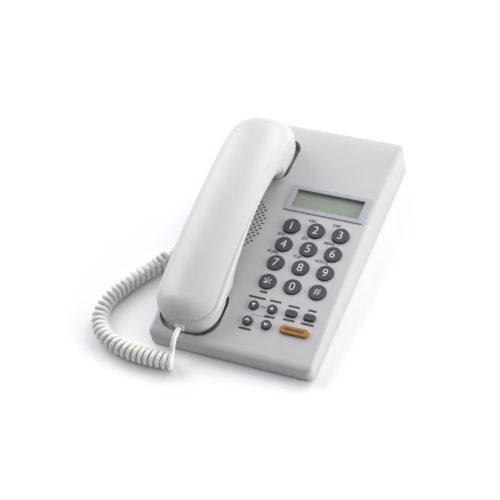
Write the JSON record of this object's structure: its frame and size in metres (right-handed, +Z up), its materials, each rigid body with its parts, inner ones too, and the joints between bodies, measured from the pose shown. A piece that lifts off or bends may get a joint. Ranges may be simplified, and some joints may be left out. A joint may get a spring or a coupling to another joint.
{
  "type": "corded landline phone",
  "caption": "Corded desk telephone with a wedge base, display, round dial keys and a handset lying in its cradle on a curly cord.",
  "frame": {"origin": "middle of the phone's footprint, on the table that it stands on", "axes": "+X to the right, +Y to the back of the phone, +Z up"},
  "size_m": [0.1986, 0.2668, 0.0696],
  "materials": {
    "white_abs": "fine moulded texture, satin white ABS",
    "handset_abs": "smooth semi-gloss white ABS",
    "bezel_grey": "satin lavender grey plastic",
    "clear_lens": "clear polycarbonate",
    "lcd_glass": "reflective grey-green display",
    "dark_key": "matte dark grey key with white print",
    "amber_key": "matte amber key",
    "silicone": "grey silicone",
    "foot_rubber": "black rubber",
    "circuit_board": "green solder mask",
    "speaker_cone": "black paper cone in a dark frame",
    "black_plastic": "black moulded plastic",
    "jack_plastic": "off-white moulded plastic",
    "clear_plug": "clear polycarbonate plug",
    "cord_jacket": "off-white PVC jacket, satin",
    "steel": "zinc plated steel"
  },
  "bodies": {
    "base": {"top_housing": "white_abs", "bottom_housing": "white_abs", "housing_screws": "steel", "rubber_feet": "foot_rubber", "lcd_bezel": "bezel_grey", "lcd_window": "clear_lens", "lcd_display": "lcd_glass", "lcd_board": "circuit_board", "keypad_membrane": "silicone", "keypad_board": "circuit_board", "main_circuit_board": "circuit_board", "base_loudspeaker": "speaker_cone", "hands_free_microphone": "steel", "hook_switch": "black_plastic", "handset_jack": "jack_plastic", "line_jack": "jack_plastic", "ringer_switch_body": "black_plastic", "cord_coil": "cord_jacket", "cord_handset_lead": "cord_jacket", "cord_base_lead": "cord_jacket", "cord_base_plug": "clear_plug"},
    "handset": {"handset_upper_shell": "handset_abs", "handset_lower_shell": "handset_abs", "handset_socket": "jack_plastic", "receiver_capsule": "black_plastic", "handset_microphone": "steel", "handset_weight": "steel", "handset_screws": "steel", "cord_handset_plug": "clear_plug"},
    "hook_plunger": {"hook_plunger": "white_abs"},
    "ringer_switch": {"ringer_switch": "dark_key"},
    "key_1": {"key_1": "dark_key"},
    "key_2": {"key_2": "dark_key"},
    "key_3": {"key_3": "dark_key"},
    "key_4": {"key_4": "dark_key"},
    "key_5": {"key_5": "dark_key"},
    "key_6": {"key_6": "dark_key"},
    "key_7": {"key_7": "dark_key"},
    "key_8": {"key_8": "dark_key"},
    "key_9": {"key_9": "dark_key"},
    "key_star": {"key_star": "dark_key"},
    "key_0": {"key_0": "dark_key"},
    "key_hash": {"key_hash": "dark_key"},
    "scroll_down_key": {"scroll_down_key": "dark_key"},
    "scroll_up_key": {"scroll_up_key": "dark_key"},
    "volume_key": {"volume_key": "dark_key"},
    "mute_key": {"mute_key": "dark_key"},
    "flash_key": {"flash_key": "dark_key"},
    "redial_key": {"redial_key": "dark_key"},
    "speakerphone_key": {"speakerphone_key": "amber_key"}
  },
  "joints": [
    {"name": "handset_lift", "type": "slide", "parent": "base", "child": "handset", "axis": [0, 0, 1], "range_m": [0, 0.06]},
    {"name": "hook_plunger_rise", "type": "slide", "parent": "base", "child": "hook_plunger", "axis": [0, 0, 1], "range_m": [0, 0.004]},
    {"name": "ringer_select", "type": "slide", "parent": "base", "child": "ringer_switch", "axis": [1, 0, 0], "range_m": [-0.002, 0.002]},
    {"name": "key_1_press", "type": "slide", "parent": "base", "child": "key_1", "axis": [0, 0.0956, -0.9954], "range_m": [0, 0.0012], "stiffness_N_per_m": 400},
    {"name": "key_2_press", "type": "slide", "parent": "base", "child": "key_2", "axis": [0, 0.0956, -0.9954], "range_m": [0, 0.0012], "stiffness_N_per_m": 400},
    {"name": "key_3_press", "type": "slide", "parent": "base", "child": "key_3", "axis": [0, 0.0956, -0.9954], "range_m": [0, 0.0012], "stiffness_N_per_m": 400},
    {"name": "key_4_press", "type": "slide", "parent": "base", "child": "key_4", "axis": [0, 0.0956, -0.9954], "range_m": [0, 0.0012], "stiffness_N_per_m": 400},
    {"name": "key_5_press", "type": "slide", "parent": "base", "child": "key_5", "axis": [0, 0.0956, -0.9954], "range_m": [0, 0.0012], "stiffness_N_per_m": 400},
    {"name": "key_6_press", "type": "slide", "parent": "base", "child": "key_6", "axis": [0, 0.0956, -0.9954], "range_m": [0, 0.0012], "stiffness_N_per_m": 400},
    {"name": "key_7_press", "type": "slide", "parent": "base", "child": "key_7", "axis": [0, 0.0956, -0.9954], "range_m": [0, 0.0012], "stiffness_N_per_m": 400},
    {"name": "key_8_press", "type": "slide", "parent": "base", "child": "key_8", "axis": [0, 0.0956, -0.9954], "range_m": [0, 0.0012], "stiffness_N_per_m": 400},
    {"name": "key_9_press", "type": "slide", "parent": "base", "child": "key_9", "axis": [0, 0.0956, -0.9954], "range_m": [0, 0.0012], "stiffness_N_per_m": 400},
    {"name": "key_star_press", "type": "slide", "parent": "base", "child": "key_star", "axis": [0, 0.0956, -0.9954], "range_m": [0, 0.0012], "stiffness_N_per_m": 400},
    {"name": "key_0_press", "type": "slide", "parent": "base", "child": "key_0", "axis": [0, 0.0956, -0.9954], "range_m": [0, 0.0012], "stiffness_N_per_m": 400},
    {"name": "key_hash_press", "type": "slide", "parent": "base", "child": "key_hash", "axis": [0, 0.0956, -0.9954], "range_m": [0, 0.0012], "stiffness_N_per_m": 400},
    {"name": "scroll_down_key_press", "type": "slide", "parent": "base", "child": "scroll_down_key", "axis": [0, 0.0956, -0.9954], "range_m": [0, 0.0012], "stiffness_N_per_m": 400},
    {"name": "scroll_up_key_press", "type": "slide", "parent": "base", "child": "scroll_up_key", "axis": [0, 0.0956, -0.9954], "range_m": [0, 0.0012], "stiffness_N_per_m": 400},
    {"name": "volume_key_press", "type": "slide", "parent": "base", "child": "volume_key", "axis": [0, 0.0956, -0.9954], "range_m": [0, 0.0012], "stiffness_N_per_m": 400},
    {"name": "mute_key_press", "type": "slide", "parent": "base", "child": "mute_key", "axis": [0, 0.0956, -0.9954], "range_m": [0, 0.0012], "stiffness_N_per_m": 400},
    {"name": "flash_key_press", "type": "slide", "parent": "base", "child": "flash_key", "axis": [0, 0.0956, -0.9954], "range_m": [0, 0.0012], "stiffness_N_per_m": 400},
    {"name": "redial_key_press", "type": "slide", "parent": "base", "child": "redial_key", "axis": [0, 0.0956, -0.9954], "range_m": [0, 0.0012], "stiffness_N_per_m": 400},
    {"name": "speakerphone_key_press", "type": "slide", "parent": "base", "child": "speakerphone_key", "axis": [0, 0.0956, -0.9954], "range_m": [0, 0.0012], "stiffness_N_per_m": 400}
  ],
  "couplings": [
    {"joint": "hook_plunger_rise", "follows": "handset_lift", "ratio": 0.0666}
  ]
}
